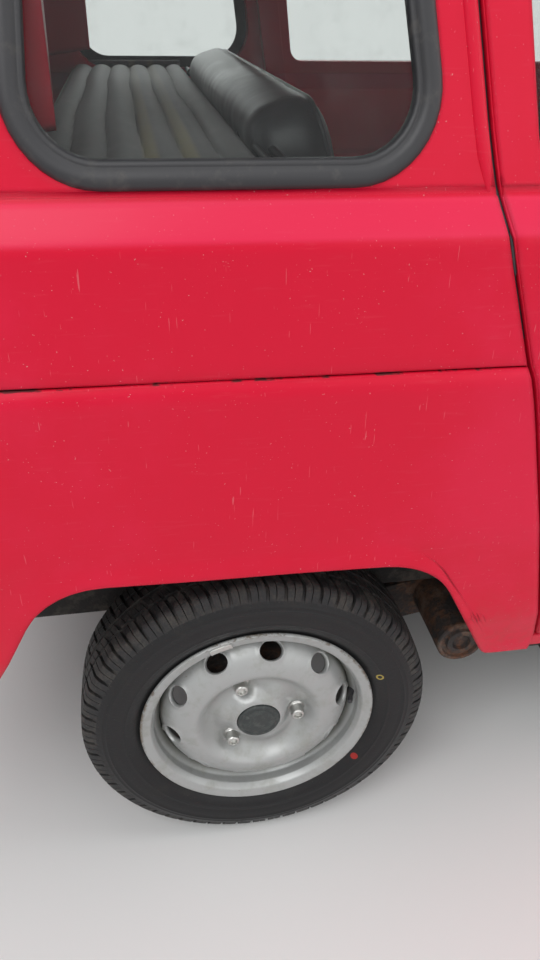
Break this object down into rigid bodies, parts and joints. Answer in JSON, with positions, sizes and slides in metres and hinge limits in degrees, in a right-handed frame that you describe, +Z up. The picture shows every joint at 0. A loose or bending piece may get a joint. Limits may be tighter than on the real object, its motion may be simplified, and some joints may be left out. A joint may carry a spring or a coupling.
{
  "type": "small five-door hatchback",
  "caption": "Small upright hatchback with hinged doors, tailgate and forward-tipping bonnet, steered front wheels and steel wheels with round vent holes.",
  "frame": {"origin": "on the ground under the middle of the car's length and width", "axes": "+X forward, +Y to the car's left, +Z up"},
  "size_m": [3.662, 1.506, 1.545],
  "materials": {
    "body_paint": "faded semi-gloss red",
    "underbody": "matt dusty black",
    "glass": "clear",
    "rubber": "matt black",
    "tyre": "dusty black",
    "wheel_paint": "grimy silver",
    "bumper_steel": "satin grey",
    "lamp_clear": "fluted clear",
    "lamp_red": "ribbed red",
    "cast": "rusty",
    "steel": "dull",
    "vinyl": "smooth black vinyl",
    "trim": "grained black",
    "shelf": "ribbed grey",
    "grille": "satin black"
  },
  "bodies": {
    "root": {"platform": "underbody", "roof": "body_paint", "side_frame_right": "body_paint", "side_frame_left": "body_paint", "windscreen_frame": "body_paint", "rear_wings": "body_paint", "front_wings": "body_paint", "front_panel": "body_paint", "tail_panel": "body_paint", "window_seals": "rubber", "windscreen": "glass", "quarter_glasses": "glass", "bumper_front": "bumper_steel", "bumper_rear": "bumper_steel", "headlamps": "lamp_clear", "tail_lamps": "lamp_red", "engine": "cast", "exhaust": "steel", "fuel_tank": "underbody", "front_arms": "cast", "rear_arms": "cast", "dampers": "steel", "rack_housing": "cast", "dashboard": "trim", "steering_column": "trim", "front_seats": "vinyl", "seat_frames": "steel", "rear_seat": "vinyl", "rear_seat_frame": "steel", "parcel_shelf": "shelf"},
    "door_front_right": {"door_front_right": "body_paint", "door_glass_front_right": "glass"},
    "door_front_left": {"door_front_left": "body_paint", "door_glass_front_left": "glass"},
    "door_rear_right": {"door_rear_right": "body_paint", "door_glass_rear_right": "glass"},
    "door_rear_left": {"door_rear_left": "body_paint", "door_glass_rear_left": "glass"},
    "tailgate": {"tailgate": "body_paint", "tailgate_seal": "rubber", "tailgate_glass": "glass"},
    "bonnet": {"bonnet": "body_paint", "grille": "grille"},
    "knuckle_right": {"knuckle_right": "cast"},
    "knuckle_left": {"knuckle_left": "cast"},
    "steering_rack": {"steering_rack": "steel"},
    "steering_wheel": {"steering_wheel": "trim"},
    "wheel_front_right": {"wheel_front_right": "wheel_paint", "tyre_front_right": "tyre"},
    "wheel_front_left": {"wheel_front_left": "wheel_paint", "tyre_front_left": "tyre"},
    "wheel_rear_right": {"wheel_rear_right": "wheel_paint", "tyre_rear_right": "tyre"},
    "wheel_rear_left": {"wheel_rear_left": "wheel_paint", "tyre_rear_left": "tyre"}
  },
  "joints": [
    {"name": "door_front_right_hinge", "type": "hinge", "parent": "root", "child": "door_front_right", "pos_m": [0.827, -0.746, 0.78], "axis": [0, 0, 1], "range_deg": [0, 70]},
    {"name": "door_front_left_hinge", "type": "hinge", "parent": "root", "child": "door_front_left", "pos_m": [0.827, 0.746, 0.78], "axis": [0, 0, -1], "range_deg": [0, 70]},
    {"name": "door_rear_right_hinge", "type": "hinge", "parent": "root", "child": "door_rear_right", "pos_m": [-0.084, -0.746, 0.78], "axis": [0, 0, 1], "range_deg": [0, 70]},
    {"name": "door_rear_left_hinge", "type": "hinge", "parent": "root", "child": "door_rear_left", "pos_m": [-0.084, 0.746, 0.78], "axis": [0, 0, -1], "range_deg": [0, 70]},
    {"name": "tailgate_hinge", "type": "hinge", "parent": "root", "child": "tailgate", "pos_m": [-1.568, 0, 1.425], "axis": [0, 1, 0], "range_deg": [0, 85]},
    {"name": "bonnet_hinge", "type": "hinge", "parent": "root", "child": "bonnet", "pos_m": [1.756, 0, 0.548], "axis": [0, 1, 0], "range_deg": [0, 60]},
    {"name": "steering_right", "type": "hinge", "parent": "root", "child": "knuckle_right", "pos_m": [1.246, -0.53, 0.27], "axis": [0, 0, 1], "range_deg": [-30, 30]},
    {"name": "steering_left", "type": "hinge", "parent": "root", "child": "knuckle_left", "pos_m": [1.246, 0.53, 0.27], "axis": [0, 0, 1], "range_deg": [-30, 30]},
    {"name": "rack_slide", "type": "slide", "parent": "root", "child": "steering_rack", "axis": [0, 1, 0], "range_m": [-0.0605, 0.0605]},
    {"name": "steering_wheel_turn", "type": "hinge", "parent": "root", "child": "steering_wheel", "pos_m": [0.455, 0.35, 0.9], "axis": [-0.848, 0, 0.5299], "range_deg": [-452, 452]},
    {"name": "wheel_front_right_spin", "type": "hinge", "parent": "knuckle_right", "child": "wheel_front_right", "pos_m": [1.246, -0.64, 0.27], "axis": [0, 1, 0], "continuous": true},
    {"name": "wheel_front_left_spin", "type": "hinge", "parent": "knuckle_left", "child": "wheel_front_left", "pos_m": [1.246, 0.64, 0.27], "axis": [0, 1, 0], "continuous": true},
    {"name": "wheel_rear_right_spin", "type": "hinge", "parent": "root", "child": "wheel_rear_right", "pos_m": [-1.197, -0.622, 0.27], "axis": [0, 1, 0], "continuous": true},
    {"name": "wheel_rear_left_spin", "type": "hinge", "parent": "root", "child": "wheel_rear_left", "pos_m": [-1.149, 0.622, 0.27], "axis": [0, 1, 0], "continuous": true}
  ],
  "couplings": [
    {"joint": "steering_left", "follows": "steering_right", "ratio": 1},
    {"joint": "rack_slide", "follows": "steering_right", "m_per_rad": -0.11459},
    {"joint": "steering_wheel_turn", "follows": "steering_right", "ratio": 15}
  ]
}
